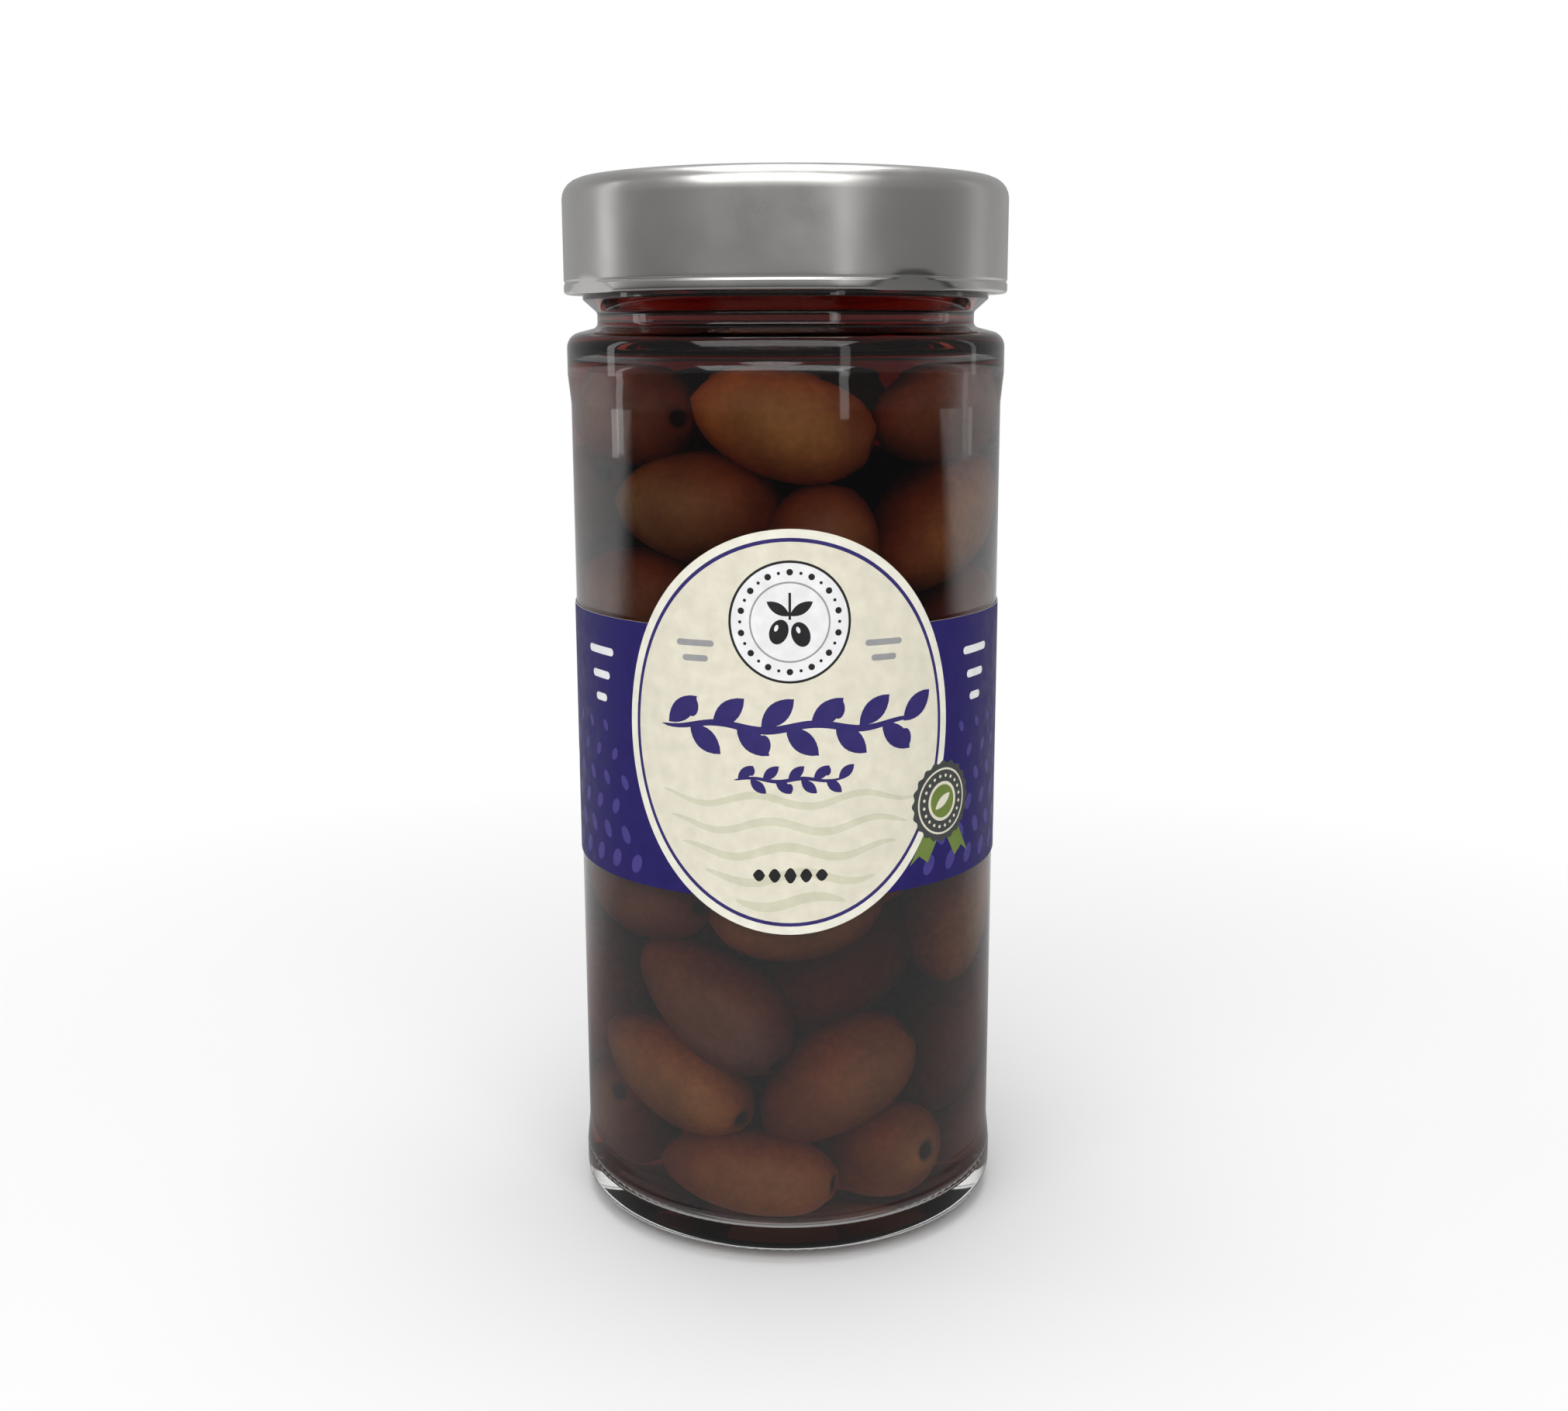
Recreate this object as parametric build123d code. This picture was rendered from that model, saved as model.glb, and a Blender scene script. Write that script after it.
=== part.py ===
from build123d import *
import math
import os

# A screw-top glass jar of olives in brine, with a four-lug tinplate cap and a
# die-cut paper label. Millimetres, +Z up, origin on the axis at the base.
# The front of the label faces -Y, and angles about Z are measured from it.

# ---- driving dimensions: glass ----
jar_height = 175.55
body_radius = 36.2
wall = 2.5
base_thickness = 4.6
push_up = 2.0
punt_flat_radius = 12.0
punt_round = 40.0
floor_dome = 0.9
floor_flat_radius = 26.0
floor_round = 20.0
bearing_inner_radius = 26.5
bearing_outer_radius = 31.8
heel_height = 2.4
heel_round = 2.8
heel_bead = 0.5
heel_bead_height = 5.0
bead_fade = 5.0
shoulder_bead = 0.5
shoulder_bead_height = 6.2
shoulder_height = 150.9
shoulder_rise = 1.3
shoulder_corner = 2.6
shoulder_glass = 3.0
inner_corner = 3.4
neck_radius = 31.55
neck_wall = 2.5
neck_length = 2.4
neck_blend = 1.0
collar_overhang = 2.35
collar_flare = 2.1
collar_height = 1.9
finish_radius = 33.5
finish_step = 0.5
small_blend = 0.3
lip_radius = 1.1

# ---- driving dimensions: cap ----
cap_radius = 36.95
cap_height = 18.4
cap_sheet = 0.35
cap_corner = 3.2
cap_panel_drop = 0.8
cap_panel_slope = 1.2
cap_panel_clearance = 1.2
curl_height = 1.5
curl_depth = 1.75
curl_round = 0.6
curl_fade = 0.8
groove_height = 0.7
groove_depth = 0.2
groove_blend = 0.15
lug_count = 4
first_lug_angle = 31.0
lug_sweep = 24.0
lug_height = 2.8
lug_reach = 0.7
dent_height = 2.7
dent_width = 17.0

# ---- driving dimensions: contents ----
head_space = 12.0
contents_clearance = 0.2

# ---- driving dimensions: label ----
label_thickness = 0.15
label_glue_gap = 0.1
band_bottom = 63.0
band_height = 43.4
band_gap_at_back = 12.0
oval_half_width = 28.0
oval_half_height = 32.4
oval_centre_height = 89.6
oval_points = 24

# ---- derived sizes shared by the pieces ----
inner_radius = body_radius - wall
mouth_radius = neck_radius - neck_wall
fill_level = jar_height - head_space
neck_bottom = shoulder_height + shoulder_rise
collar_bottom = neck_bottom + neck_length
collar_edge = collar_bottom + collar_flare
cap_top = jar_height + cap_sheet
cap_bottom = cap_top - cap_height


def revolved(rows):
    """Turn an outline about Z. Each row is (radius, height, corner radius).

    The first and last rows lie on the axis, and their corner radius isn't used.
    """
    points = [(radius, height) for radius, height, corner in rows]
    corners = [corner for radius, height, corner in rows[1:-1]]
    with BuildPart() as part:
        with BuildSketch(Plane.XZ):
            with BuildLine():
                outline = FilletPolyline(*points, radius=corners)
                Line(outline @ 1, outline @ 0)
            make_face()
        revolve(axis=Axis.Z)
    return part.part


def inside_rows(gap):
    """The jar's inside from the floor up to the neck, drawn in by a gap."""
    floor = base_thickness + gap
    shoulder = shoulder_height - shoulder_glass - gap
    return [
        (0, floor + floor_dome, 0),
        (punt_flat_radius, floor + floor_dome, punt_round),
        (floor_flat_radius, floor, floor_round),
        (inner_radius - gap, floor, inner_corner),
        (inner_radius - gap, shoulder, inner_corner),
        (mouth_radius - gap, shoulder + shoulder_rise, neck_blend),
    ]


def make_jar():
    """One piece of glass: pushed-up base, beaded heel and shoulder, plain finish."""
    heel_top = heel_height + heel_bead_height
    shoulder_start = shoulder_height - shoulder_bead_height
    collar_radius = neck_radius + collar_overhang
    collar_top = collar_edge + collar_height
    outside = [
        (0, push_up, 0),
        (punt_flat_radius, push_up, punt_round),
        (bearing_inner_radius, 0, small_blend),
        (bearing_outer_radius, 0, small_blend),
        (body_radius + heel_bead, heel_height, heel_round),
        (body_radius + heel_bead, heel_top, bead_fade),
        (body_radius, heel_top + bead_fade, bead_fade),
        (body_radius, shoulder_start - bead_fade, bead_fade),
        (body_radius + shoulder_bead, shoulder_start, bead_fade),
        (body_radius + shoulder_bead, shoulder_height, shoulder_corner),
        (neck_radius, neck_bottom, neck_blend),
        (neck_radius, collar_bottom, neck_blend),
        (collar_radius, collar_edge, small_blend),
        (collar_radius, collar_top, small_blend),
        (finish_radius, collar_top + finish_step, small_blend),
        (finish_radius, jar_height, lip_radius),
        (mouth_radius, jar_height, lip_radius),
    ]
    return revolved(outside + inside_rows(0)[::-1])


def make_contents():
    """Olives in brine, filling the jar up to the level hidden by the cap."""
    rows = inside_rows(contents_clearance)
    rows.append((mouth_radius - contents_clearance, fill_level, 0))
    rows.append((0, fill_level, 0))
    return revolved(rows)


def cap_shell():
    """The turned cap: sunk panel, rounded corner, skirt, groove and curl."""
    inside = cap_radius - cap_sheet
    curl_inside = cap_radius - curl_depth
    panel_radius = mouth_radius - cap_panel_clearance
    panel_flat = panel_radius - cap_panel_slope
    panel_top = cap_top - cap_panel_drop
    groove_bottom = cap_bottom + curl_height
    groove_middle = groove_bottom + groove_height / 2
    groove_top = groove_bottom + groove_height
    return revolved([
        (0, panel_top, 0),
        (panel_flat, panel_top, cap_panel_slope),
        (panel_radius, cap_top, cap_panel_slope),
        (cap_radius, cap_top, cap_corner),
        (cap_radius, groove_top, groove_blend),
        (cap_radius - groove_depth, groove_middle, groove_blend),
        (cap_radius, groove_bottom, groove_blend),
        (cap_radius, cap_bottom, curl_round),
        (curl_inside, cap_bottom, curl_round),
        (curl_inside, groove_top, groove_blend),
        (inside, groove_top + curl_fade, groove_blend),
        (inside, cap_top - cap_sheet, cap_corner - cap_sheet),
        (panel_radius, cap_top - cap_sheet, cap_panel_slope),
        (panel_flat, panel_top - cap_sheet, cap_panel_slope),
        (0, panel_top - cap_sheet, 0),
    ])


def about_axis(shape, angle_from_front):
    """Turn a shape built along +X so that it stands at an angle from the front."""
    return Rot(0, 0, angle_from_front - 90) * shape


def lug():
    """The stretch of curl that is pressed inwards to grip the glass."""
    inner = cap_radius - curl_depth - lug_reach
    outer = cap_radius - curl_depth / 2
    with BuildPart() as part:
        with BuildSketch(Plane.XZ):
            with BuildLine():
                Polyline(
                    (inner, cap_bottom + curl_round),
                    (outer, cap_bottom + curl_round),
                    (outer, cap_bottom + lug_height),
                    (inner, cap_bottom + lug_height - curl_round),
                    close=True,
                )
            make_face()
        revolve(axis=Axis.Z, revolution_arc=lug_sweep)
    return Rot(0, 0, -lug_sweep / 2) * part.part


def dent():
    """The wedge whose flat face leaves the arched dent outside each lug."""
    depth = dent_width ** 2 / (8 * cap_radius)
    with BuildPart() as part:
        with BuildSketch(Plane.XZ):
            with BuildLine():
                Polyline(
                    (cap_radius - depth, cap_bottom),
                    (cap_radius, cap_bottom + dent_height),
                    (cap_radius + depth, cap_bottom),
                    close=True,
                )
            make_face()
        extrude(amount=dent_width, both=True)
    return part.part


def make_cap():
    """The tinplate cap with its ring of lugs."""
    cap = cap_shell()
    for number in range(lug_count):
        angle = first_lug_angle + number * 360 / lug_count
        cap = cap + about_axis(lug(), angle)
        cap = cap - about_axis(dent(), angle)
    return cap


def oval_outline(radius):
    """Points of the oval, wrapped on a cylinder and seen square from the front."""
    points = []
    for number in range(oval_points):
        turn = 2 * math.pi * number / oval_points
        along = oval_half_width * math.cos(turn)
        height = oval_centre_height + oval_half_height * math.sin(turn)
        points.append((radius * math.sin(along / radius), height))
    return points


def make_label():
    """One die-cut paper: an oval on the front of a band that wraps the jar."""
    inner = body_radius + label_glue_gap
    outer = inner + label_thickness
    band_middle = band_bottom + band_height / 2
    with BuildPart() as label:
        with BuildSketch(Plane.XZ):
            with BuildLine():
                Spline(*oval_outline(outer), periodic=True)
            make_face()
        extrude(amount=2 * outer)
        with Locations((0, 0, band_middle)):
            Box(4 * outer, 4 * outer, band_height)
        with Locations((0, outer, band_middle)):
            Box(band_gap_at_back, outer, band_height, mode=Mode.SUBTRACT)
        with Locations((0, 0, oval_centre_height)):
            Cylinder(outer, 3 * oval_half_height, mode=Mode.INTERSECT)
            Cylinder(inner, 3 * oval_half_height, mode=Mode.SUBTRACT)
    return label.part


os.makedirs("parts", exist_ok=True)
export_step(make_jar(), "parts/jar.step")
export_step(make_contents(), "parts/contents.step")
export_step(make_cap(), "parts/cap.step")
export_step(make_label(), "parts/label.step")
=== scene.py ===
import math

import bpy
import numpy as np
from mathutils import Matrix, Vector
from mathutils.geometry import delaunay_2d_cdt


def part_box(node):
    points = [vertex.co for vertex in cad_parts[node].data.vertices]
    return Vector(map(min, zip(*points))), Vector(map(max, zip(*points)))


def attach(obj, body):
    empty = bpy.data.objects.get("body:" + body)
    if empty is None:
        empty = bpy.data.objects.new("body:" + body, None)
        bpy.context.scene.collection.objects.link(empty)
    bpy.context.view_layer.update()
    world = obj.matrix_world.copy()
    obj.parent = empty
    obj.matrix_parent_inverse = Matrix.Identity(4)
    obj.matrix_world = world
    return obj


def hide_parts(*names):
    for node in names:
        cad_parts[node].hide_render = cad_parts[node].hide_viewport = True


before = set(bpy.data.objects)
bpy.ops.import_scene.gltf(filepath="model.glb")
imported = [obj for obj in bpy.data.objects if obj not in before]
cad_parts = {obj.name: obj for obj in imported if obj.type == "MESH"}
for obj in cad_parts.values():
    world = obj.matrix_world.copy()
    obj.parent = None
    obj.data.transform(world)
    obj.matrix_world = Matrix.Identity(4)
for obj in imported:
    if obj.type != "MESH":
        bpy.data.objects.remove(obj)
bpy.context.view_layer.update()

# A jar of olives. Metres, +Z up, the label's front faces -Y.
# Angles about Z are measured from the front, positive to the right.
MM = 0.001

# ---- sizes taken from the frame ----
jar_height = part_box("jar")[1].z
cap_low, cap_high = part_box("cap")
cap_radius = cap_high.x
cap_top = cap_high.z
cap_bottom = cap_low.z
fill_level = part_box("contents")[1].z
contents_clearance = 0.2 * MM
inner_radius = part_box("contents")[1].x + contents_clearance
wall = 2.5 * MM
body_radius = inner_radius + wall

# ---- glass ----
push_up = 2.0 * MM
punt_flat_radius = 12 * MM
ring_inner = 26.5 * MM
ring_outer = 31.8 * MM
bead = 0.5 * MM
bead_fade = 5 * MM
heel_bottom = 2.4 * MM
heel_top = 7.4 * MM
shoulder_bottom = 144.7 * MM
shoulder_height = 150.9 * MM
shoulder_rise = 1.3 * MM
shoulder_glass = 3.0 * MM
neck_radius = 31.55 * MM
mouth_radius = neck_radius - wall
collar_overhang = 2.35 * MM
finish_radius = 33.5 * MM
floor_height = 4.6 * MM
floor_dome = 0.9 * MM
dome_edge = 26 * MM
inner_corner = 3.4 * MM
glass_segments = 288

# ---- brine ----
brine_overlap = 0.05 * MM
surface_rise = 0.6 * MM
surface_rim = 1.5 * MM

# ---- cap ----
sheet = 0.35 * MM
curl_depth = 1.75 * MM
panel_drop = 0.8 * MM
panel_slope = 1.2 * MM
groove_depth = 0.2 * MM
lug_count = 4
lug_angle = 31
dent_height = 2.7 * MM
dent_width = 17 * MM

# ---- label: along the wrap and up the jar, in millimetres ----
label_thickness = 0.15 * MM
label_radius = body_radius + 0.25 * MM
band_bottom = 63.0
band_top = 106.4
band_gap = 12.0
band_reach = math.pi * label_radius / MM - band_gap / 2
oval_centre = 89.6
oval_half_width = 28.0
oval_half_height = 32.4

# ---- olives, in millimetres ----
olive_lengths = (23, 28)
olive_widths = (15.5, 18)
olive_rings = 30
olive_sides = 40
inside = inner_radius / MM
floor_inside = floor_height / MM
layer_first = 13.5
layer_last = 142
layer_step = 15.2
outer_circle = 24.6
outer_count = 7
outer_angle = 52
inner_circle = 7.0
least_distance = 15.5
pinned = 0.06
ease_steps = 320

rng = np.random.default_rng(7)


# ---------------------------------------------------------------- mesh helpers
def new_object(name, verts, faces, smooth_angle=40):
    """A mesh object from arrays, smooth except across sharp edges."""
    mesh = bpy.data.meshes.new(name)
    mesh.from_pydata([tuple(v) for v in verts], [], [tuple(f) for f in faces])
    mesh.validate()
    mesh.shade_smooth()
    mesh.set_sharp_from_angle(angle=math.radians(smooth_angle))
    obj = bpy.data.objects.new(name, mesh)
    bpy.context.scene.collection.objects.link(obj)
    return obj


def rounded(rows, arc_steps=6):
    """Points of an outline whose corners (radius, height, fillet) are rounded."""
    points = [np.array(rows[0][:2])]
    for before, (r, z, fillet), after in zip(rows, rows[1:], rows[2:]):
        corner = np.array([r, z])
        if fillet <= 0:
            points.append(corner)
            continue
        u = np.array(before[:2]) - corner
        v = np.array(after[:2]) - corner
        u = u / np.linalg.norm(u)
        v = v / np.linalg.norm(v)
        half = math.acos(np.clip(u @ v, -1, 1)) / 2
        middle = (u + v) / np.linalg.norm(u + v)
        centre = corner + middle * fillet / math.sin(half)
        start = corner + u * fillet / math.tan(half) - centre
        end = corner + v * fillet / math.tan(half) - centre
        sweep = math.pi - 2 * half
        for step in range(arc_steps + 1):
            t = step / arc_steps
            a = math.sin((1 - t) * sweep) / math.sin(sweep)
            b = math.sin(t * sweep) / math.sin(sweep)
            points.append(centre + a * start + b * end)
    points.append(np.array(rows[-1][:2]))
    return points


def divided(points, longest):
    """The same outline with no stretch longer than a given length."""
    result = [points[0]]
    for a, b in zip(points, points[1:]):
        count = max(1, math.ceil(np.linalg.norm(b - a) / longest))
        result += [a + (b - a) * (i + 1) / count for i in range(count)]
    return result


def tube_faces(rings, sides):
    """Faces between neighbouring rings of points."""
    faces = []
    for i in range(rings - 1):
        low, high = i * sides, (i + 1) * sides
        for j in range(sides):
            k = (j + 1) % sides
            faces.append((low + j, low + k, high + k, high + j))
    return faces


def lathe(name, points, segments, reshape=None):
    """Turn an outline that starts and ends on the axis into a closed mesh."""
    rings = np.array(points[1:-1])
    angle = np.linspace(0, 2 * np.pi, segments, endpoint=False)
    radius = np.repeat(rings[:, :1], segments, axis=1)
    height = np.repeat(rings[:, 1:], segments, axis=1)
    turn = np.repeat(angle[None, :], len(rings), axis=0)
    x, y, z = radius * np.sin(turn), -radius * np.cos(turn), height
    if reshape:
        x, y, z = reshape(x, y, z)
    verts = np.stack([x, y, z], axis=-1).reshape(-1, 3)
    first = len(verts)
    ends = [(0, 0, points[0][1]), (0, 0, points[-1][1])]
    verts = np.vstack([verts, ends])
    faces = tube_faces(len(rings), segments)
    last = (len(rings) - 1) * segments
    for j in range(segments):
        k = (j + 1) % segments
        faces.append((first, k, j))
        faces.append((last + j, last + k, first + 1))
    return new_object(name, verts, faces)


# ------------------------------------------------------------ material helpers
def material(name, color, roughness, **sockets):
    """A Principled material; returns its node tree and shader too."""
    mat = bpy.data.materials.new(name)
    mat.use_nodes = True
    shader = mat.node_tree.nodes["Principled BSDF"]
    shader.inputs["Base Color"].default_value = (*color, 1)
    shader.inputs["Roughness"].default_value = roughness
    for socket, value in sockets.items():
        shader.inputs[socket.replace("_", " ")].default_value = value
    return mat, mat.node_tree, shader


def node(tree, kind, inputs=(), **settings):
    """Add a node, set its properties and its input values or links."""
    made = tree.nodes.new(kind)
    for key, value in settings.items():
        setattr(made, key, value)
    for key, value in dict(inputs).items():
        if isinstance(value, bpy.types.NodeSocket):
            tree.links.new(value, made.inputs[key])
        else:
            made.inputs[key].default_value = value
    return made


def noise(tree, scale, detail=3.0, stretch=(1, 1, 1)):
    """Noise in the object's own coordinates, scale in cycles a metre."""
    place = node(tree, "ShaderNodeTexCoord").outputs["Object"]
    mapped = node(tree, "ShaderNodeMapping", {"Vector": place, "Scale": stretch})
    made = node(tree, "ShaderNodeTexNoise", {"Vector": mapped.outputs[0], "Scale": scale, "Detail": detail})
    return made.outputs["Fac"]


def ranged(tree, value, low, high, to_low, to_high):
    """Map a value from one range to another."""
    inputs = {"Value": value, "From Min": low, "From Max": high, "To Min": to_low, "To Max": to_high}
    return node(tree, "ShaderNodeMapRange", inputs).outputs["Result"]


def combined(tree, operation, first, second):
    """One number from two."""
    return node(tree, "ShaderNodeMath", {0: first, 1: second}, operation=operation).outputs[0]


def chosen(tree, factor, first, second):
    """The first number where the factor is 0, the second where it is 1."""
    return node(tree, "ShaderNodeMix", {"Factor": factor, 2: first, 3: second}).outputs[0]


def bumped(tree, shader, height, strength, distance):
    """Drive the shader's normal by a height."""
    bump = node(tree, "ShaderNodeBump", {"Height": height, "Strength": strength, "Distance": distance})
    tree.links.new(bump.outputs["Normal"], shader.inputs["Normal"])


def shaded(tree, value, dark, light):
    """A colour between two, chosen by a value from 0 to 1."""
    mix = node(tree, "ShaderNodeMix", data_type="RGBA")
    tree.links.new(value, mix.inputs["Factor"])
    mix.inputs[6].default_value = (*dark, 1)
    mix.inputs[7].default_value = (*light, 1)
    return mix.outputs[2]


# ------------------------------------------------------------------- the glass
def inside_rows(gap):
    """The jar's inside from the floor up to the neck, drawn in by a gap."""
    floor = floor_height + gap
    shoulder = shoulder_height - shoulder_glass - gap
    return [
        (0, floor + floor_dome, 0),
        (punt_flat_radius, floor + floor_dome, 40 * MM),
        (dome_edge, floor, 20 * MM),
        (inner_radius - gap, floor, inner_corner),
        (inner_radius - gap, shoulder, inner_corner),
        (mouth_radius - gap, shoulder + shoulder_rise, 1.0 * MM),
    ]


def glass_flow(x, y, z):
    """Blown glass: slow waves inside, and a knurled ring at the foot."""
    swell = 0.03 * MM
    knurls, knurl_height = 110, 0.18 * MM
    radius = np.hypot(x, y)
    turn = np.arctan2(x, -y)
    near_inside = np.clip((body_radius - 1.2 * MM - radius) / (1.0 * MM), 0, 1)
    side = (z > 9 * MM) & (z < 146 * MM)
    wave = np.sin(5 * turn + 40 * z) + 0.7 * np.sin(9 * turn - 75 * z + 2)
    wave = wave + 0.5 * np.sin(3 * turn + 130 * z)
    radius_new = radius + side * near_inside * wave * swell
    foot = (radius > 27 * MM) & (z < 2.2 * MM)
    knurl = np.where(foot, (0.5 + 0.5 * np.cos(knurls * turn)) * knurl_height, 0)
    scale = radius_new / np.maximum(radius, 1e-9)
    return x * scale, y * scale, z + knurl


def make_glass():
    """The jar: foot, heel bead, body, shoulder bead, neck, collar and finish."""
    bead_radius = body_radius + bead
    collar = shoulder_height + shoulder_rise + 2.4 * MM
    collar_edge = collar + 2.1 * MM
    collar_radius = neck_radius + collar_overhang
    collar_top = collar_edge + 1.9 * MM
    crisp = 0.3 * MM
    outside = [
        (0, push_up, 0),
        (punt_flat_radius, push_up, 40 * MM),
        (ring_inner, 0, crisp),
        (ring_outer, 0, crisp),
        (bead_radius, heel_bottom, 2.8 * MM),
        (bead_radius, heel_top, bead_fade),
        (body_radius, heel_top + bead_fade, bead_fade),
        (body_radius, shoulder_bottom - bead_fade, bead_fade),
        (bead_radius, shoulder_bottom, bead_fade),
        (bead_radius, shoulder_height, 2.6 * MM),
        (neck_radius, shoulder_height + shoulder_rise, 1.0 * MM),
        (neck_radius, collar, 1.0 * MM),
        (collar_radius, collar_edge, crisp),
        (collar_radius, collar_top, crisp),
        (finish_radius, collar_top + 0.5 * MM, crisp),
        (finish_radius, jar_height, 1.1 * MM),
        (mouth_radius, jar_height, 1.1 * MM),
    ]
    points = divided(rounded(outside + inside_rows(0)[::-1]), 4 * MM)
    glass = lathe("glass_jar", points, glass_segments, glass_flow)
    tint = (0.97, 0.985, 0.975)
    mat, tree, shader = material("clear_glass", tint, 0.015, IOR=1.5, Transmission_Weight=1.0)
    bumped(tree, shader, noise(tree, 60, 2, (1, 1, 0.25)), 0.25, 0.15 * MM)
    glass.data.materials.append(mat)
    return glass


# ------------------------------------------------------------------- the brine
def make_brine():
    """Brown-red liquid up to the fill level, reaching just into the wall."""
    rows = inside_rows(-brine_overlap)
    rows.append((mouth_radius + brine_overlap, fill_level + surface_rise, 0))
    rows.append((mouth_radius - surface_rim, fill_level, 0))
    rows.append((0, fill_level, 0))
    brine = lathe("brine", divided(rounded(rows), 4 * MM), glass_segments, glass_flow)
    mat, tree, _ = material("olive_brine", (1, 1, 1), 0.0, IOR=1.34, Transmission_Weight=1.0)
    color = (0.66, 0.22, 0.11, 1)
    absorb = node(tree, "ShaderNodeVolumeAbsorption", {"Color": color, "Density": 150.0})
    tree.links.new(absorb.outputs[0], tree.nodes["Material Output"].inputs["Volume"])
    brine.data.materials.append(mat)
    return brine


# ------------------------------------------------------------------ the olives
# Skin colours, darkest and most purple first. They are lighter than the skins
# look, because the glass and brine take light away.
MAUVE = (0.220, 0.075, 0.065)
PLUM = (0.330, 0.095, 0.050)
BROWN = (0.480, 0.160, 0.055)
TAN = (0.640, 0.235, 0.070)
OCHRE = (0.780, 0.310, 0.075)
OLIVE = (0.520, 0.260, 0.070)

# The olives that lie against the front of the glass: angle and height of the
# middle, distance from the axis, tilt from level, turn outwards, length and
# width in millimetres and degrees, and the colours of the two ends.
FRONT = [
    (-60, 138.5, 24.5, 0, 0, 27, 17.5, BROWN, PLUM),
    (-2, 137.5, 24.8, -14, 0, 27, 17.5, OCHRE, TAN),
    (57, 138.5, 24.5, 6, 0, 28, 17.0, BROWN, PLUM),
    (-32, 124.5, 24.2, -6, -18, 25, 18.0, OLIVE, BROWN),
    (10, 115.5, 24.6, 76, 0, 25, 16.8, TAN, BROWN),
    (57, 121.0, 24.4, 36, 0, 29, 18.5, OCHRE, TAN),
    (-62, 107.5, 24.8, 4, 0, 28, 17.5, PLUM, BROWN),
    (66, 102.5, 24.8, 60, 0, 25, 17.0, PLUM, BROWN),
    (-98, 124.0, 24.5, 30, 0, 26, 17.0, PLUM, MAUVE),
    (-58, 58.0, 24.8, -6, 0, 27, 16.5, BROWN, PLUM),
    (-25, 42.0, 24.4, -38, 0, 29, 17.5, BROWN, MAUVE),
    (4, 57.0, 24.0, 8, 0, 26, 17.5, TAN, BROWN),
    (69, 52.5, 24.6, 65, 0, 26, 17.5, OCHRE, BROWN),
    (29, 46.0, 19.5, 30, 0, 25, 17.0, PLUM, MAUVE),
    (-42, 23.4, 24.8, -18, 0, 29, 16.6, TAN, OCHRE),
    (13, 27.8, 24.4, 42, 0, 27, 18.0, BROWN, BROWN),
    (-15, 12.6, 25.0, -4, 0, 28, 15.8, BROWN, TAN),
    (33, 13.2, 22.8, 4, 72, 25, 17.6, TAN, TAN),
    (-78, 14.0, 24.4, 50, 30, 26, 17.5, PLUM, BROWN),
    (70, 31.5, 24.4, 62, 0, 28, 18.0, MAUVE, PLUM),
    (88, 14.5, 24.4, 20, 0, 26, 17.5, BROWN, BROWN),
]
SKINS = [MAUVE, PLUM, PLUM, BROWN, BROWN, TAN, OLIVE]


def axis_of(angle, tilt, outward):
    """Direction of an olive's long axis from its tilt and its turn outwards."""
    turn = math.radians(angle)
    along = np.array([math.cos(turn), math.sin(turn), 0.0])
    out = np.array([math.sin(turn), -math.cos(turn), 0.0])
    swing = math.radians(outward)
    flat = math.cos(swing) * along + math.sin(swing) * out
    lean = math.radians(tilt)
    return math.cos(lean) * flat + np.array([0, 0, math.sin(lean)])


def round_axis(angle, out, height):
    """A place at an angle from the front, a distance out and a height."""
    turn = math.radians(angle)
    return np.array([out * math.sin(turn), -out * math.cos(turn), height])


def olive_rows():
    """The front olives, then layers that fill the rest of the jar.

    A row is centre, axis, length, width, two colours and freedom to move.
    """
    rows = []
    for angle, height, out, tilt, swing, length, width, first, second in FRONT:
        axis = axis_of(angle, tilt, swing)
        rows.append([round_axis(angle, out, height), axis, length, width, first, second, pinned])
    height, level = layer_first, 0
    while height < layer_last:
        start = outer_angle / 2 * (1 + level % 2)
        spots = [(outer_circle, start + outer_angle * i) for i in range(outer_count)]
        spots += [(inner_circle, 90 * level), (inner_circle, 90 * level + 180)]
        for out, angle in spots:
            centre = round_axis(angle, out, height + rng.uniform(-2, 2))
            near = [np.linalg.norm(centre - row[0]) for row in rows]
            if min(near) < least_distance:
                continue
            length = rng.uniform(*olive_lengths)
            width = rng.uniform(*olive_widths)
            axis = axis_of(angle, rng.uniform(-70, 70), rng.uniform(-20, 20))
            first = SKINS[rng.integers(len(SKINS))]
            second = SKINS[rng.integers(len(SKINS))]
            rows.append([centre, axis, length, width, first, second, 1.0])
        height += layer_step
        level += 1
    return rows


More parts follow.
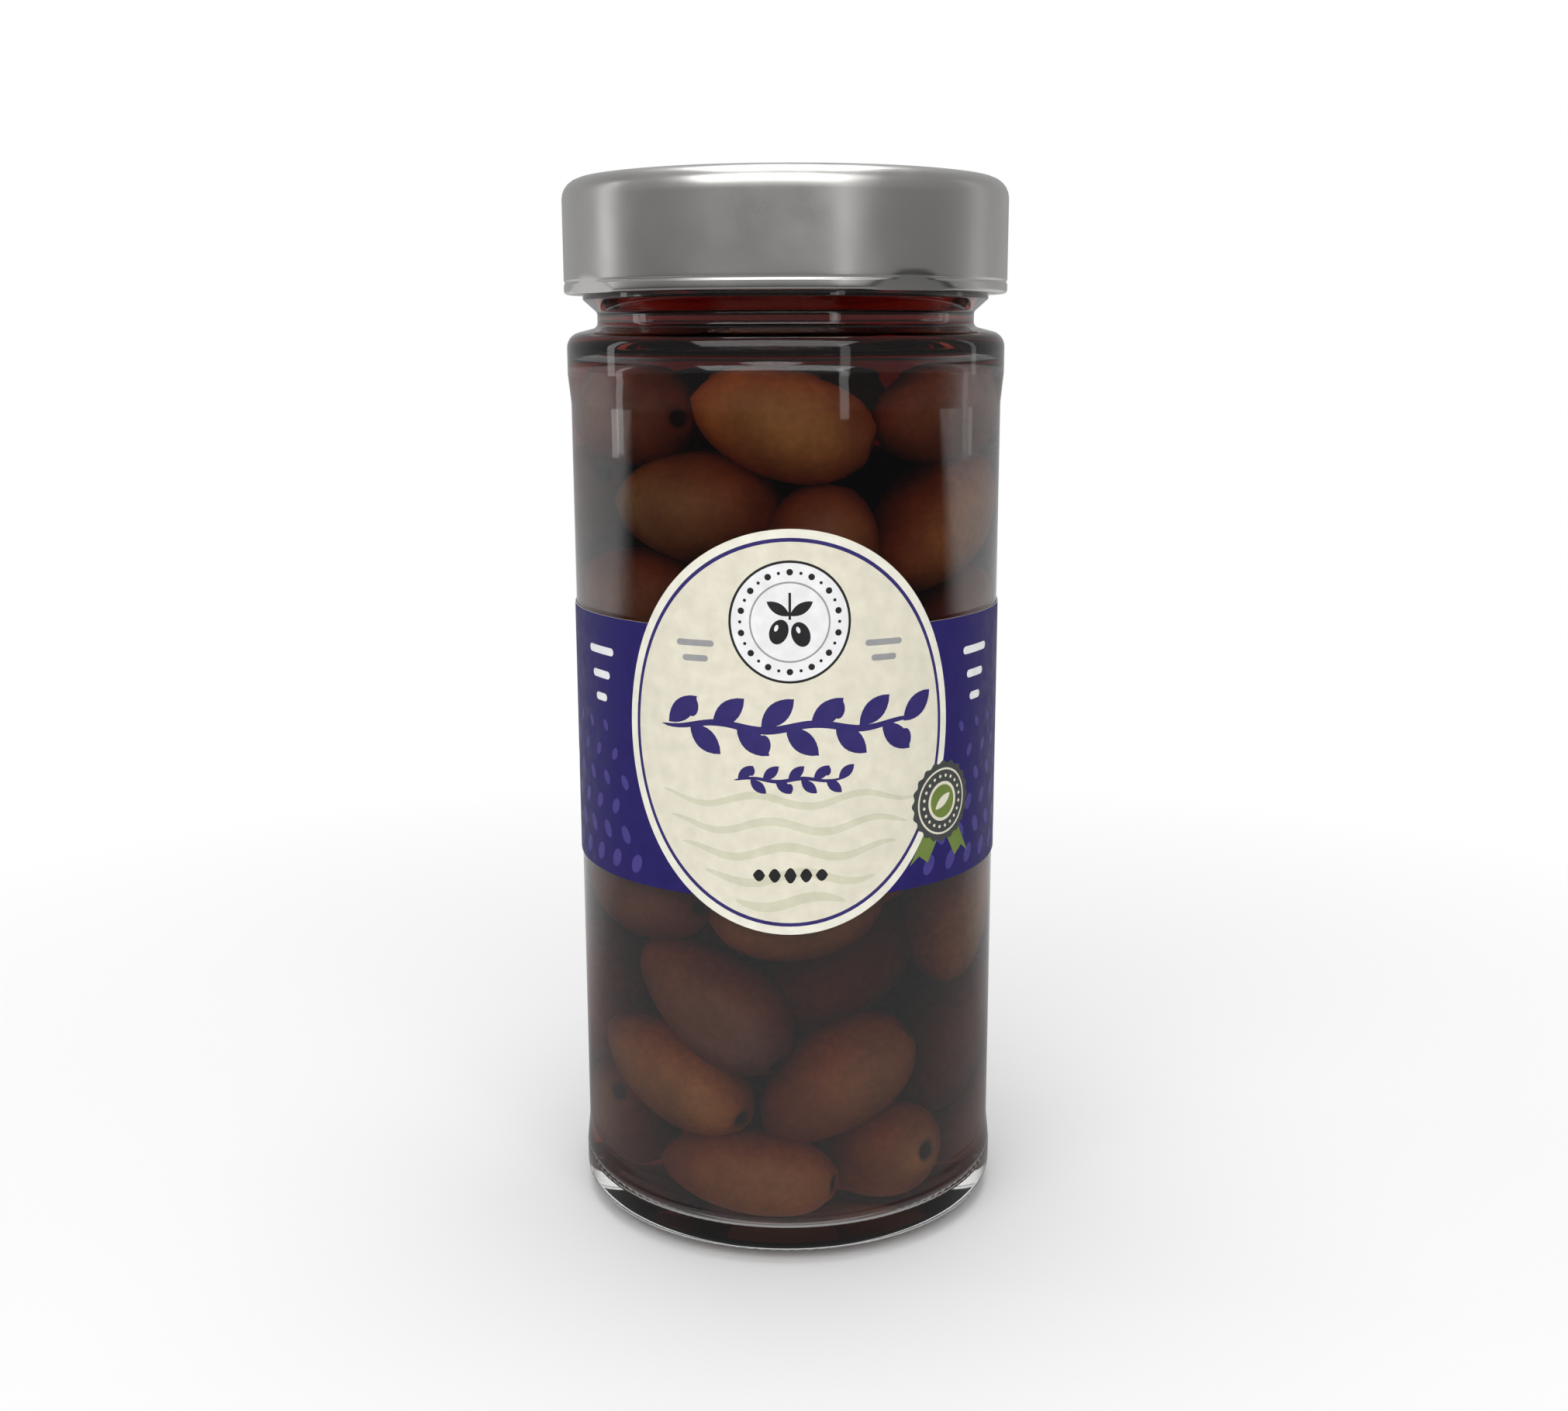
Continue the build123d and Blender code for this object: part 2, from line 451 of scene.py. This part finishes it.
def place_olives():
    """Ease the olives apart, each taken as three balls along its axis."""
    rows = olive_rows()
    count = len(rows)
    centre = np.array([row[0] for row in rows], float)
    axis = np.array([row[1] for row in rows], float)
    half_length = np.array([row[2] for row in rows]) / 2
    half_width = np.array([row[3] for row in rows]) / 2
    free = np.array([row[6] for row in rows])[:, None]
    end_ball = 0.80
    offset = (half_length - half_width * end_ball)[:, None] * np.array([-1, 0, 1])[None, :]
    size = (half_width[:, None] * np.array([end_ball, 1.0, end_ball])[None, :]).reshape(-1)
    owner = np.repeat(np.arange(count), 3)
    apart = owner[:, None] != owner[None, :]
    side, floor, top = inside - 0.25, floor_inside + 0.25, 147.3
    for _ in range(ease_steps):
        spots = (centre[:, None, :] + axis[:, None, :] * offset[:, :, None]).reshape(-1, 3)
        gap = spots[:, None, :] - spots[None, :, :]
        far = np.linalg.norm(gap, axis=-1) + 1e-9
        deep = np.clip(size[:, None] + size[None, :] - far, 0, None) * apart
        push = (gap / far[..., None] * deep[..., None]).sum(axis=1) * 0.35
        out = np.hypot(spots[:, 0], spots[:, 1]) + 1e-9
        excess = np.clip(out + size - side, 0, None)
        push[:, 0] -= spots[:, 0] / out * excess
        push[:, 1] -= spots[:, 1] / out * excess
        push[:, 2] += np.clip(floor + size - spots[:, 2], 0, None)
        push[:, 2] -= np.clip(spots[:, 2] + size - top, 0, None)
        push = push.reshape(count, 3, 3)
        centre += free * push.mean(axis=1)
        axis += free * (push[:, 2] - push[:, 0]) / (2 * half_length[:, None]) * 0.6
        axis /= np.linalg.norm(axis, axis=1)[:, None]
    return [(centre[i], axis[i], *rows[i][2:6]) for i in range(count)]


def olive_shape(length, width):
    """One olive along X, its stem scar at +X; also each point's share of the length."""
    turn = np.linspace(0, np.pi, olive_rings + 1)[1:-1, None]
    side = np.linspace(0, 2 * np.pi, olive_sides, endpoint=False)[None, :]
    taper = rng.uniform(0.03, 0.16)
    bend = rng.uniform(-0.05, 0.05) * length
    squash = rng.uniform(0.95, 1.0)
    phase = rng.uniform(0, 6.28, 6)
    lump = 0.010 * np.sin(2 * side + 3 * turn + phase[0])
    lump = lump + 0.008 * np.sin(3 * side - 2 * turn + phase[1])
    lump = lump + 0.005 * np.sin(5 * side + 4 * turn + phase[2])
    along = length / 2 * np.cos(turn) + 0 * side
    across = width / 2 * np.sin(turn) ** 0.93 * (1 + taper * np.cos(turn)) * (1 + lump)
    scar = np.exp(-((turn / 0.17) ** 2)) - 0.7 * np.exp(-(((turn - 0.26) / 0.09) ** 2))
    tip = np.exp(-(((np.pi - turn) / 0.11) ** 2))
    x = along - 0.75 * scar - 0.45 * tip
    y = across * np.cos(side) + bend * (2 * x / length) ** 2 * 0.5
    z = across * np.sin(side) * squash
    points = np.stack([x, y, z], axis=-1).reshape(-1, 3)
    ends = np.array([[length / 2 - 0.85, bend * 0.5, 0], [-length / 2 - 0.5, bend * 0.5, 0]])
    share = np.repeat((1 - turn / np.pi), olive_sides, axis=1).reshape(-1)
    return np.vstack([points, ends]), np.append(share, [1.0, 0.0])


def olive_faces():
    """Faces of one olive, closed by a fan at each end."""
    rings = olive_rings - 1
    faces = tube_faces(rings, olive_sides)
    scar_end = rings * olive_sides
    last = (rings - 1) * olive_sides
    for j in range(olive_sides):
        k = (j + 1) % olive_sides
        faces.append((scar_end, k, j))
        faces.append((last + j, last + k, scar_end + 1))
    return faces


def settled(points, centre, axis):
    """Turn an olive along its axis, roll it and keep it inside the glass."""
    side = np.cross([0, 0, 1.0], axis)
    side /= np.linalg.norm(side)
    up = np.cross(axis, side)
    roll = rng.uniform(0, 6.28)
    a = math.cos(roll) * side + math.sin(roll) * up
    b = -math.sin(roll) * side + math.cos(roll) * up
    placed = centre + points[:, :1] * axis + points[:, 1:2] * a + points[:, 2:3] * b
    limit = inside - 0.12
    out = np.hypot(placed[:, 0], placed[:, 1])
    placed[:, :2] *= np.where(out > limit, limit / out, 1.0)[:, None]
    dome_start, dome_end = punt_flat_radius / MM, dome_edge / MM
    dome = floor_dome / MM * np.clip((dome_end - out) / (dome_end - dome_start), 0, 1)
    placed[:, 2] = np.clip(placed[:, 2], floor_inside + 0.2 + dome, 147.4)
    return placed


def make_olives():
    """All olives as one mesh, with each point's skin colour and scar share."""
    faces_one = olive_faces()
    verts, faces, colors, scars = [], [], [], []
    for centre, axis, length, width, first, second in place_olives():
        points, share = olive_shape(length, width)
        start = len(verts) * len(points)
        faces += [tuple(start + v for v in face) for face in faces_one]
        verts.append(settled(points, centre, axis))
        blend = np.clip(0.5 + 1.3 * (share - 0.5), 0, 1)[:, None]
        color = blend * np.array(second) + (1 - blend) * np.array(first)
        colors.append(color * rng.uniform(0.88, 1.1))
        scars.append(np.clip((share - 0.935) / 0.03, 0, 1))
    olives = new_object("olives", np.vstack(verts) * MM, faces, 60)
    colors = np.vstack(colors)
    rgba = np.column_stack([colors, np.ones(len(colors))]).ravel().astype(np.float32)
    skin = olives.data.color_attributes.new("skin", "FLOAT_COLOR", "POINT")
    skin.data.foreach_set("color", rgba)
    scar = olives.data.attributes.new("scar", "FLOAT", "POINT")
    scar.data.foreach_set("value", np.concatenate(scars).astype(np.float32))
    olives.data.materials.append(olive_skin())
    return olives


def olive_skin():
    """Mottled, faintly freckled skin, dull where it has cured."""
    mat, tree, shader = material("olive_skin", BROWN, 0.5, Specular_IOR_Level=0.3)
    skin = node(tree, "ShaderNodeAttribute", attribute_name="skin").outputs["Color"]
    scar = node(tree, "ShaderNodeAttribute", attribute_name="scar").outputs["Fac"]
    cloud = ranged(tree, noise(tree, 95, 4), 0.3, 0.7, 0.72, 1.22)
    grain = ranged(tree, noise(tree, 900, 3), 0.35, 0.65, 0.93, 1.06)
    tone = combined(tree, "MULTIPLY", cloud, grain)
    tinted = node(tree, "ShaderNodeVectorMath", {0: skin}, operation="SCALE")
    tree.links.new(tone, tinted.inputs["Scale"])
    blush = ranged(tree, noise(tree, 60, 2), 0.52, 0.72, 0.0, 0.55)
    mix = node(tree, "ShaderNodeMix", {"Factor": blush, 6: tinted.outputs[0]}, data_type="RGBA")
    mix.inputs[7].default_value = (*PLUM, 1)
    dark = node(tree, "ShaderNodeMix", {"Factor": scar, 6: mix.outputs[2]}, data_type="RGBA")
    dark.inputs[7].default_value = (0.035, 0.018, 0.012, 1)
    tree.links.new(dark.outputs[2], shader.inputs["Base Color"])
    tree.links.new(ranged(tree, cloud, 0.72, 1.22, 0.58, 0.42), shader.inputs["Roughness"])
    bumped(tree, shader, noise(tree, 700, 3), 0.10, 0.10 * MM)
    return mat


# ------------------------------------------------------------------- the label
# The print is drawn flat, in millimetres along the wrap and up the jar, as
# shapes laid over each other; each part of the paper shows its topmost ink.
INKS = {
    "paper": (0.80, 0.79, 0.74),
    "violet": (0.016, 0.009, 0.125),
    "lilac": (0.060, 0.045, 0.240),
    "cream": (0.760, 0.720, 0.590),
    "ivory": (0.830, 0.810, 0.700),
    "navy": (0.032, 0.022, 0.150),
    "sage": (0.640, 0.625, 0.475),
    "white": (0.84, 0.84, 0.85),
    "black": (0.020, 0.020, 0.022),
    "grey": (0.33, 0.33, 0.34),
    "slate": (0.060, 0.066, 0.062),
    "green": (0.160, 0.230, 0.045),
}


def ellipse(s, z, a, b, count=48, turn=0.0):
    """An ellipse of half widths a and b, turned."""
    t = np.linspace(0, 2 * np.pi, count, endpoint=False)
    x, y = a * np.cos(t), b * np.sin(t)
    c, k = math.cos(turn), math.sin(turn)
    return [(s + c * u - k * v, z + k * u + c * v) for u, v in zip(x, y)]


def circle(s, z, radius, count=48):
    """A circle with that many sides."""
    return ellipse(s, z, radius, radius, count)


def leaf(s, z, length, width, turn, count=9):
    """A pointed leaf whose base is at (s, z)."""
    t = np.linspace(0, 1, count)
    edge = width / 2 * np.sin(np.pi * t) ** 0.8
    x = np.concatenate([t * length, t[-2:0:-1] * length])
    y = np.concatenate([-edge, edge[-2:0:-1]])
    c, k = math.cos(turn), math.sin(turn)
    return [(s + c * u - k * v, z + k * u + c * v) for u, v in zip(x, y)]


def bar(s, z, width, height):
    """A small bar with rounded ends, centred on (s, z)."""
    r = height / 2
    turns = np.linspace(-1.57, 1.57, 7)
    right = [(s + width / 2 - r + r * math.cos(t), z + r * math.sin(t)) for t in turns]
    left = [(s - width / 2 + r - r * math.cos(t), z - r * math.sin(t)) for t in turns]
    return right + left


def box(s0, z0, s1, z1):
    """A rectangle from its lower left to its upper right corner."""
    return [(s0, z0), (s1, z0), (s1, z1), (s0, z1)]


def wave(s0, s1, z, swell, length, thick, phase):
    """A wavy stripe that thins out at its two ends."""
    s = np.linspace(s0, s1, 40)
    t = (s - s0) / (s1 - s0)
    mid = z + swell * np.sin(2 * np.pi * s / length + phase)
    half = thick / 2 * np.sin(np.pi * t) ** 0.4 + 0.02
    low = list(zip(s, mid - half))
    high = list(zip(s, mid + half))
    return low + high[::-1]


def garland(s0, s1, z, height, step, ink):
    """A level twig with leaves and small olives, alternately up and down."""
    shapes = [(ink, wave(s0, s1, z, height * 0.06, step * 4, height * 0.14, 0))]
    count = int(round((s1 - s0) / step))
    for i in range(count):
        s = s0 + (i + 0.35) * step
        way = 1 if i % 2 == 0 else -1
        shapes.append((ink, leaf(s, z, height * 0.80, height * 0.40, way * 0.72)))
        if i % 3 == 1:
            low = z - way * height * 0.33
            shapes.append((ink, ellipse(s + step * 0.1, low, height * 0.13, height * 0.19, 20)))
    return shapes


def split(outline, longest=1.5):
    """The same outline with its long sides divided, so that they wrap round."""
    points = []
    for (s0, z0), (s1, z1) in zip(outline, outline[1:] + outline[:1]):
        count = max(1, math.ceil(math.hypot(s1 - s0, z1 - z0) / longest))
        points += [(s0 + (s1 - s0) * i / count, z0 + (z1 - z0) * i / count) for i in range(count)]
    return points


def oval(inset):
    """The front oval, drawn in by an inset."""
    return ellipse(0, oval_centre, oval_half_width - inset, oval_half_height - inset, 120)


def in_oval(s, z):
    """Below 1 inside the front oval, above 1 outside it."""
    return (s / oval_half_width) ** 2 + ((z - oval_centre) / oval_half_height) ** 2


def band_motif():
    """Rows of small leaning ovals over the lower part of the band."""
    reach = band_reach - 3
    spacing, row_height = 5.2, 4.4
    shapes = []
    row = 0
    z = band_bottom + 3.2
    while z < band_top - 14:
        size = 1.75 - 0.15 * row
        lean = 0.5 if row % 2 else -0.5
        s = -reach + (spacing / 2 if row % 2 else 0)
        while s < reach:
            if in_oval(s, z) > 1.2:
                shapes.append(("lilac", ellipse(s, z, size * 0.62, size, 14, lean)))
            s += spacing
        z += row_height
        row += 1
    return shapes


def beads(ink, s, z, radius, count, sizes, sides, shift=0.0):
    """A ring of dots whose sizes take turns."""
    shapes = []
    for i in range(count):
        t = 2 * math.pi * (i + shift) / count
        place = (s + radius * math.cos(t), z + radius * math.sin(t))
        shapes.append((ink, circle(*place, sizes[i % len(sizes)], sides)))
    return shapes


def emblem(s, z, radius):
    """White disc in dark rings, with a bead ring and a sprig of two olives."""
    shapes = [
        ("black", circle(s, z, radius, 64)),
        ("white", circle(s, z, radius - 0.4, 64)),
        ("grey", circle(s, z, radius * 0.66)),
        ("white", circle(s, z, radius * 0.63)),
    ]
    shapes += beads("black", s, z, 0.81 * radius, 28, (0.26, 0.52), 12)
    shapes += [
        ("black", ellipse(s - 1.7, z - 1.5, 1.45, 2.0, 24, -0.35)),
        ("black", ellipse(s + 1.7, z - 1.9, 1.45, 2.0, 24, 0.35)),
        ("white", ellipse(s - 2.1, z - 0.9, 0.3, 0.55, 12, -0.35)),
        ("white", ellipse(s + 1.3, z - 1.2, 0.3, 0.55, 12, 0.35)),
        ("black", leaf(s, z + 1.0, 4.2, 1.7, 0.55)),
        ("black", leaf(s, z + 1.0, 4.2, 1.7, math.pi - 0.55)),
        ("black", box(s - 0.2, z + 0.4, s + 0.2, z + 4.6)),
    ]
    return shapes


def seal(s, z, radius):
    """A plain rosette with a green centre and two hanging tails."""
    shapes = []
    low = z - radius - 3.2
    half = 1.9
    for way in (-1, 1):
        start, foot = s + way * 1.2, s + way * 5.2
        tail = [(start - half, z - 3), (start + half, z - 3)]
        tail += [(foot + half, low), (foot, low + 1.4), (foot - half, low)]
        shapes.append(("green", ccw(tail)))
    t = np.linspace(0, 2 * np.pi, 120, endpoint=False)
    edge = radius * (1 + 0.035 * np.cos(20 * t))
    shapes += [
        ("slate", [(s + r * math.cos(a), z + r * math.sin(a)) for r, a in zip(edge, t)]),
        ("cream", circle(s, z, radius * 0.84)),
        ("slate", circle(s, z, radius * 0.79)),
        ("cream", circle(s, z, radius * 0.50, 40)),
        ("green", circle(s, z, radius * 0.42, 40)),
        ("cream", leaf(s - 1.7, z - 1.2, 4.2, 1.6, 0.6)),
    ]
    return shapes + beads("cream", s, z, radius * 0.645, 20, (0.28,), 10, 0.5)


def ccw(points):
    """The same outline, anticlockwise."""
    area = sum(a[0] * b[1] - b[0] * a[1] for a, b in zip(points, points[1:] + points[:1]))
    return points if area > 0 else points[::-1]


def back_panel(s, z, width, height):
    """A cream panel of plain rules, as on the back of a pack."""
    left, right = s - width / 2, s + width / 2
    shapes = [("cream", box(left, z - height / 2, right, z + height / 2))]
    rows = 9
    for i in range(rows):
        level = z + height / 2 - 3.2 - i * (height - 6) / (rows - 1)
        half = (0.9 if i in (0, rows - 1) else 0.35) / 2
        shapes.append(("navy", box(left + 2, level - half, right - 2, level + half)))
    return shapes


def oval_art():
    """The front oval: rims, wavy field, emblem, garlands, bars and diamonds."""
    art = [("ivory", oval(0)), ("navy", oval(1.35)), ("cream", oval(1.95))]
    field = ((62.6, 9), (66.6, 14), (70.8, 18), (75.0, 20), (79.2, 21.5))
    for i, (z, half) in enumerate(field):
        art.append(("sage", wave(-half, half, z, 0.9, 17, 1.7 - 0.12 * i, 0.9 * i)))
    art += emblem(0, 107.6, 9.6)
    for side in (-1, 1):
        art.append(("grey", bar(side * 15.2, 104.0, 6.4, 1.0)))
        art.append(("grey", bar(side * 15.2, 101.6, 4.4, 1.0)))
    art += garland(-21.5, 21.5, 91.0, 8.6, 3.9, "navy")
    art += garland(-9.0, 9.0, 82.6, 4.2, 2.0, "navy")
    for i in range(-2, 3):
        art.append(("black", leaf(i * 2.5 - 1.0, 67.0, 2.0, 2.6 - 0.3 * abs(i), 0, 7)))
    return art


def label_art():
    """All shapes of the print as (ink, outline), lowest first."""
    art = [("violet", box(-band_reach, band_bottom, band_reach, band_top))]
    art += band_motif()
    for side in (-1, 1):
        art += back_panel(side * 74, 84.7, 34, 34)
    for side in (-1, 1):
        for z, width in ((100.6, 8.0), (96.6, 5.6), (92.8, 3.6)):
            art.append(("white", bar(side * 36.5, z, width, 1.3)))
    return art + oval_art() + seal(27.5, 76.5, 6.6)


def paper_grid():
    """Points that keep the paper's triangles short, so that it wraps smoothly."""
    points = []
    for s in np.arange(-band_reach + 0.9, band_reach - 0.4, 1.7):
        points += [Vector((s, z)) for z in np.arange(band_bottom + 1.1, band_top, 3.4)]
    below = list(np.arange(58.3, 62.9, 2.3))
    above = list(np.arange(107.3, 121.6, 2.3))
    for s in np.arange(-26.1, 26.2, 1.7):
        points += [Vector((s, z)) for z in below + above if in_oval(s, z) < 0.96]
    return points


def flat_print(art):
    """Triangles of the flat label as (corners, ink), and the points they use."""
    verts, faces = [], []
    for _, outline in art:
        outline = split(outline)
        start = len(verts)
        verts += [Vector(point) for point in outline]
        faces.append(list(range(start, start + len(outline))))
    verts += paper_grid()
    flat, _, tris, _, _, sources = delaunay_2d_cdt(verts, [], faces, 0, 1e-6, True)
    names = list(INKS)
    kept = [(tri, names.index(art[max(source)][0])) for tri, source in zip(tris, sources) if source]
    used = sorted({v for tri, _ in kept for v in tri})
    index = {v: i for i, v in enumerate(used)}
    triangles = [(tuple(index[v] for v in tri), ink) for tri, ink in kept]
    return triangles, np.array([flat[v] for v in used])


def wrapped(points, radius):
    """Flat points laid round the jar."""
    turn = points[:, 0] * MM / label_radius
    return np.column_stack([radius * np.sin(turn), -radius * np.cos(turn), points[:, 1] * MM])


def make_label():
    """The printed paper: a wrapped front, a plain inner side and plain edges."""
    triangles, flat = flat_print(label_art())
    points = np.vstack([wrapped(flat, label_radius), wrapped(flat, label_radius - label_thickness)])
    count = len(flat)
    shell = [tri for tri, _ in triangles]
    inks = [ink for _, ink in triangles]
    sides = {}
    for a, b, c in shell:
        for side in ((a, b), (b, c), (c, a)):
            sides[side] = True
    inner = [(c + count, b + count, a + count) for a, b, c in shell]
    edges = [(q, p, p + count, q + count) for p, q in sides if (q, p) not in sides]
    plain = [0] * (len(inner) + len(edges))
    label = new_object("label_paper", points, shell + inner + edges, 50)
    for name in INKS:
        label.data.materials.append(ink_material(name))
    label.data.polygons.foreach_set("material_index", inks + plain)
    return label


def ink_material(name):
    """Coated paper with one ink on it: faint mottle and a soft sheen."""
    color = INKS[name]
    mat, tree, shader = material("print_" + name, color, 0.5, Specular_IOR_Level=0.25)
    mottle = ranged(tree, noise(tree, 420, 4), 0.3, 0.7, 0, 1)
    dark = tuple(0.93 * c for c in color)
    light = tuple(min(1.0, 1.05 * c + 0.002) for c in color)
    tree.links.new(shaded(tree, mottle, dark, light), shader.inputs["Base Color"])
    tree.links.new(ranged(tree, mottle, 0, 1, 0.44, 0.56), shader.inputs["Roughness"])
    bumped(tree, shader, noise(tree, 2600, 3), 0.12, 0.03 * MM)
    return mat


# --------------------------------------------------------------------- the cap
def cap_dents(x, y, z):
    """Press a flat, arched dent into the skirt at each of the four lugs."""
    depth = dent_width ** 2 / (8 * cap_radius)
    skirt = np.hypot(x, y) > cap_radius - 1.1 * MM
    dented = skirt & (z < cap_bottom + dent_height)
    for i in range(lug_count):
        turn = math.radians(lug_angle + 360 / lug_count * i)
        nx, ny = math.sin(turn), -math.cos(turn)
        limit = cap_radius - depth * np.clip(1 - (z - cap_bottom) / dent_height, 0, 1)
        over = np.where(dented, np.clip(nx * x + ny * y - limit, 0, None), 0)
        x = x - nx * over
        y = y - ny * over
    return x, y, z


def make_cap():
    """The cap: sunken panel with a shallow ring, skirt, groove and curl."""
    skirt_inside = cap_radius - sheet
    curl = cap_radius - curl_depth
    panel = mouth_radius - 1.2 * MM
    flat = panel - panel_slope
    low = cap_top - panel_drop
    groove = cap_bottom + 1.5 * MM
    ring, ring_width, ring_height = 8 * MM, 1.4 * MM, 0.25 * MM
    crease = 0.15 * MM
    rows = [
        (0, low, 0),
        (ring, low, 0.4 * MM),
        (ring + 0.6 * MM, low + ring_height, 0.4 * MM),
        (ring + ring_width, low, 0.4 * MM),
        (flat, low, 1.2 * MM),
        (panel, cap_top, 1.2 * MM),
        (cap_radius, cap_top, 3.2 * MM),
        (cap_radius, groove + 0.7 * MM, crease),
        (cap_radius - groove_depth, groove + 0.35 * MM, crease),
        (cap_radius, groove, crease),
        (cap_radius, cap_bottom, 0.6 * MM),
        (curl, cap_bottom, 0.6 * MM),
        (curl, groove + 0.7 * MM, crease),
        (skirt_inside, groove + 1.5 * MM, crease),
        (skirt_inside, cap_top - sheet, 2.85 * MM),
        (panel, cap_top - sheet, 1.2 * MM),
        (flat, low - sheet, 1.2 * MM),
        (0, low - sheet, 0),
    ]
    outline = divided(rounded(rows), 0.6 * MM)[::-1]
    cap = lathe("tinplate_cap", outline, glass_segments, cap_dents)
    mat, tree, shader = material("satin_tinplate", (0.70, 0.69, 0.67), 0.3, Metallic=1.0)
    cloud = noise(tree, 38, 3)
    tone = shaded(tree, cloud, (0.64, 0.63, 0.61), (0.74, 0.73, 0.71))
    tree.links.new(tone, shader.inputs["Base Color"])
    tree.links.new(ranged(tree, noise(tree, 120, 4), 0.3, 0.7, 0.26, 0.36), shader.inputs["Roughness"])
    cap.data.materials.append(mat)
    return cap


# ----------------------------------------------------------- stage and lighting
def make_floor():
    """A pale floor that turns into the white backdrop away from the jar.

    What the glass and metal mirror of its front part is darker, as in a room.
    """
    size = 6.0
    corners = [(-size, -size, 0), (size, -size, 0), (size, size, 0), (-size, size, 0)]
    floor = new_object("floor", corners, [(0, 1, 2, 3)])
    mat, tree, shader = material("pale_floor", (0.92, 0.92, 0.92), 0.6)
    place = node(tree, "ShaderNodeTexCoord").outputs["Object"]
    away = node(tree, "ShaderNodeVectorMath", {0: place}, operation="LENGTH").outputs["Value"]
    parts = node(tree, "ShaderNodeSeparateXYZ", {0: place})
    fade = ranged(tree, away, 0.05, 0.30, 0.0, 1.0)
    level = ranged(tree, away, 0.27, 0.33, 0.30, 0.04)
    front = ranged(tree, parts.outputs["Y"], 0.25, 0.05, 0.0, 1.0)
    rays = node(tree, "ShaderNodeLightPath").outputs
    seen = combined(tree, "MAXIMUM", rays["Is Camera Ray"], rays["Is Transmission Ray"])
    bounced = combined(tree, "MAXIMUM", rays["Is Glossy Ray"], rays["Is Transmission Ray"])
    white_share = combined(tree, "MULTIPLY", seen, fade)
    room_share = combined(tree, "MULTIPLY", bounced, front)
    white = node(tree, "ShaderNodeEmission", {"Color": (1, 1, 1, 1), "Strength": 1.0}).outputs[0]
    grey = node(tree, "ShaderNodeCombineColor", {0: level, 1: level, 2: level}).outputs[0]
    room = node(tree, "ShaderNodeEmission", {"Color": grey, "Strength": 1.0}).outputs[0]
    pale = node(tree, "ShaderNodeMixShader", {0: white_share, 1: shader.outputs[0], 2: white}).outputs[0]
    both = node(tree, "ShaderNodeMixShader", {0: room_share, 1: pale, 2: room})
    tree.links.new(both.outputs[0], tree.nodes["Material Output"].inputs["Surface"])
    floor.data.materials.append(mat)


def make_world():
    """White to the camera and through the glass at the back, a dim room in front."""
    world = bpy.data.worlds.new("studio")
    bpy.context.scene.world = world
    world.use_nodes = True
    tree = world.node_tree
    tree.nodes.clear()
    rays = node(tree, "ShaderNodeLightPath").outputs
    way = node(tree, "ShaderNodeTexCoord").outputs["Generated"]
    toward_back = node(tree, "ShaderNodeSeparateXYZ", {0: way}).outputs["Y"]
    mirrored = ranged(tree, toward_back, 0.2, 0.95, 0.25, 0.42)
    through = ranged(tree, toward_back, 0.0, 0.5, 0.12, 1.0)
    level = chosen(tree, rays["Is Glossy Ray"], 0.4, mirrored)
    level = chosen(tree, rays["Is Transmission Ray"], level, through)
    level = chosen(tree, rays["Is Camera Ray"], level, 1.0)
    light = node(tree, "ShaderNodeBackground", {"Color": level, "Strength": 1.0})
    node(tree, "ShaderNodeOutputWorld", {"Surface": light.outputs[0]})


def area_light(name, place, aim, width, height, power):
    """A soft lamp of that width and height, turned to a point."""
    data = bpy.data.lights.new(name, "AREA")
    data.shape = "RECTANGLE"
    data.size = width
    data.size_y = height
    data.energy = power
    lamp = bpy.data.objects.new(name, data)
    lamp.location = place
    lamp.rotation_euler = (Vector(aim) - Vector(place)).to_track_quat("-Z", "Y").to_euler()
    bpy.context.scene.collection.objects.link(lamp)


def make_lights():
    """Narrow lamps for streaks, a wide front box and one above."""
    middle = (0, 0, 0.10)
    area_light("left_strip", (-0.74, 0.13, 0.31), middle, 0.08, 0.48, 0.20)
    area_light("right_strip", (0.70, 0.26, 0.31), middle, 0.06, 0.48, 0.06)
    area_light("front_strip", (0.36, -0.66, 0.33), middle, 0.07, 0.48, 0.14)
    area_light("front_box", (-0.12, -0.85, 0.85), middle, 1.6, 0.8, 9.0)
    area_light("top", (0, 0.1, 0.95), middle, 0.6, 0.6, 3.5)


def make_camera():
    """Looks down on the jar a little, from just left of the label's middle."""
    distance = 8.61 * body_radius
    eye_height = 151.4 * MM
    pitch = math.radians(11.67)
    swing = math.radians(0.78)
    roll = math.radians(-0.176)
    data = bpy.data.cameras.new("camera")
    data.sensor_width = 36
    data.lens = 41.55
    data.shift_x = -0.0018
    data.clip_start = 0.01
    camera = bpy.data.objects.new("camera", data)
    tilt = Matrix.Rotation(math.pi / 2 - pitch, 4, "X") @ Matrix.Rotation(roll, 4, "Z")
    place = (-distance * math.sin(swing), -distance * math.cos(swing), eye_height)
    camera.matrix_world = Matrix.Translation(place) @ Matrix.Rotation(-swing, 4, "Z") @ tilt
    bpy.context.scene.collection.objects.link(camera)
    bpy.context.scene.camera = camera


# ------------------------------------------------------------------ the object
PIECES = [
    (make_glass, "jar", "clear_glass"),
    (make_brine, "contents", "olives_in_brine"),
    (make_olives, "contents", "olives_in_brine"),
    (make_label, "label", "label_paper"),
    (make_cap, "cap", "tinplate"),
]
for make, replaced, slot in PIECES:
    piece = make()
    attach(piece, "root")
    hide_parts(replaced)

make_floor()
make_world()
make_lights()
make_camera()
bpy.context.scene.view_settings.view_transform = "Standard"
